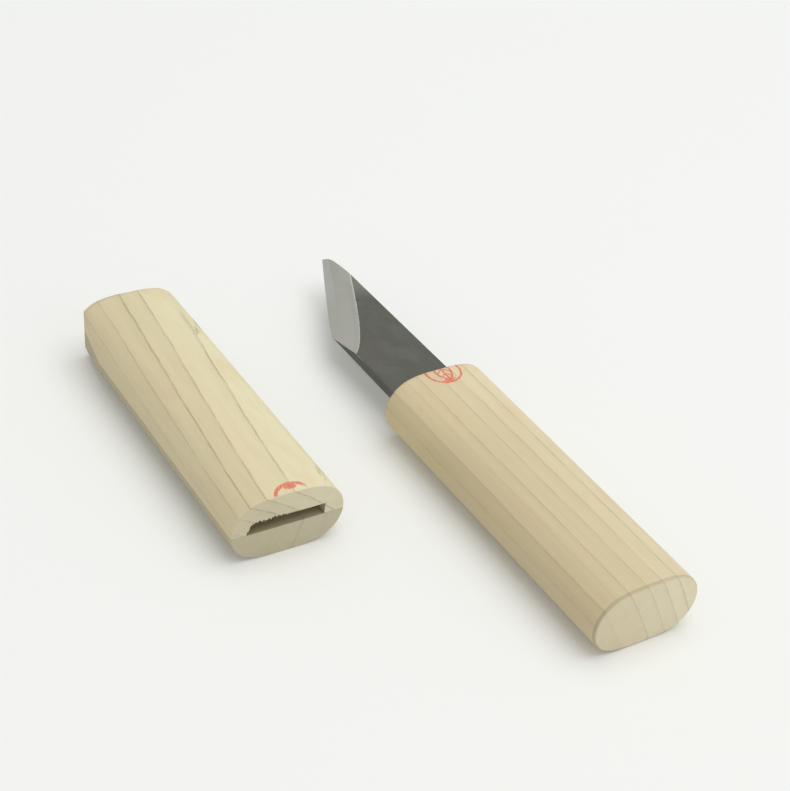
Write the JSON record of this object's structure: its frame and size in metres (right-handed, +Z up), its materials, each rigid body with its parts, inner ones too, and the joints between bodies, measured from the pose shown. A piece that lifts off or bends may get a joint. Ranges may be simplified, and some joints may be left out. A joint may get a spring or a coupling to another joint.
{
  "type": "whittling knife with sheath",
  "caption": "Flat skew-bladed whittling knife with an oval wooden handle, beside its matching two-part wooden sheath.",
  "frame": {"origin": "centre of the planed flat on the handle's underside, on the surface that the knife and sheath lie on", "axes": "+X along the knife from the butt towards the blade's tip, +Y across to the sheath, +Z up from the surface"},
  "size_m": [0.1773, 0.0985, 0.0197],
  "materials": {
    "handle_wood": "planed, unfinished",
    "sheath_wood": "planed, unfinished",
    "scaled_iron": "dark forge scale, ground bevel",
    "edge_steel": "satin ground",
    "bedding_resin": "set resin",
    "wood_glue": "dried glue"
  },
  "bodies": {
    "knife": {"handle": "handle_wood", "blade_iron_body": "scaled_iron", "blade_edge_steel": "edge_steel", "tang_bedding": "bedding_resin"},
    "sheath": {"sheath_upper_half": "sheath_wood", "sheath_lower_half": "sheath_wood", "sheath_glue_line": "wood_glue"}
  },
  "joints": [
    {"name": "sheath_draw", "type": "slide", "parent": "knife", "child": "sheath", "axis": [0.9997, -0.0227, 0], "range_m": [0, 0.077]}
  ]
}
